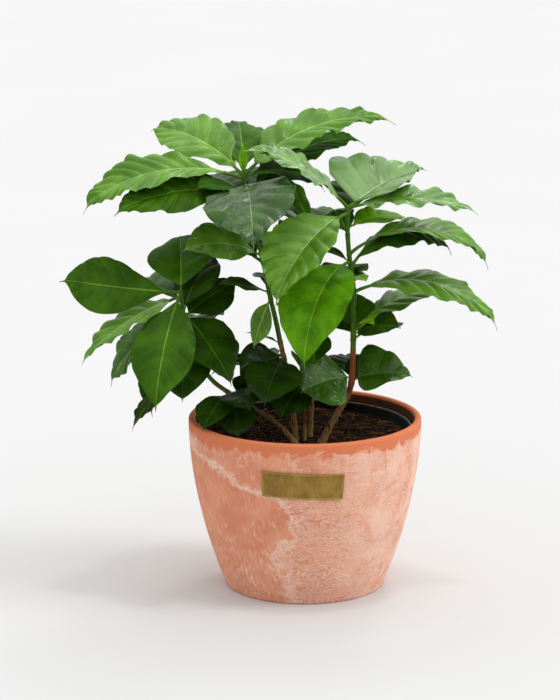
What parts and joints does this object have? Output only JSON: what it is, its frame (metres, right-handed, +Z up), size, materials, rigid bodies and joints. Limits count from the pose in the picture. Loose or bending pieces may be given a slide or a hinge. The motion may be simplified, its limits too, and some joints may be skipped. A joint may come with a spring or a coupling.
{
  "type": "potted coffee plant",
  "caption": "Bushy potted coffee plant with broad, pointed, glossy leaves on thin woody stems, in a round flared terracotta pot with a small bare brass plate.",
  "frame": {"origin": "centre of the pot's flat underside", "axes": "+Z up along the pot's axis; -Y is the front, the side of the pot that carries the brass plate; +X is to the right seen from the front"},
  "size_m": [0.3539, 0.2098, 0.3854],
  "materials": {
    "terracotta": "matte",
    "liner_plastic": "matte",
    "potting_soil": "matte",
    "aged_brass": "satin",
    "bark": "matte",
    "green_bark": "matte",
    "leaf": "satin"
  },
  "bodies": {
    "root": {"pot": "terracotta", "liner": "liner_plastic", "soil": "potting_soil", "plate": "aged_brass", "stem_left": "bark", "stem_tall": "bark", "stem_right": "bark", "stem_back": "bark", "stem_inner": "bark", "bough_left": "green_bark", "bough_tall_low": "green_bark", "bough_tall_high": "green_bark", "bough_right_low": "green_bark", "bough_right_middle": "green_bark", "bough_right_high": "green_bark", "bough_back": "green_bark", "foliage_left_low": "leaf", "foliage_left_top": "leaf", "foliage_tall_low": "leaf", "foliage_tall_middle": "leaf", "foliage_tall_top": "leaf", "foliage_right_foot": "leaf", "foliage_right_low": "leaf", "foliage_right_middle": "leaf", "foliage_right_top": "leaf", "foliage_back_low": "leaf", "foliage_back_top": "leaf", "foliage_inner": "leaf"}
  },
  "joints": []
}
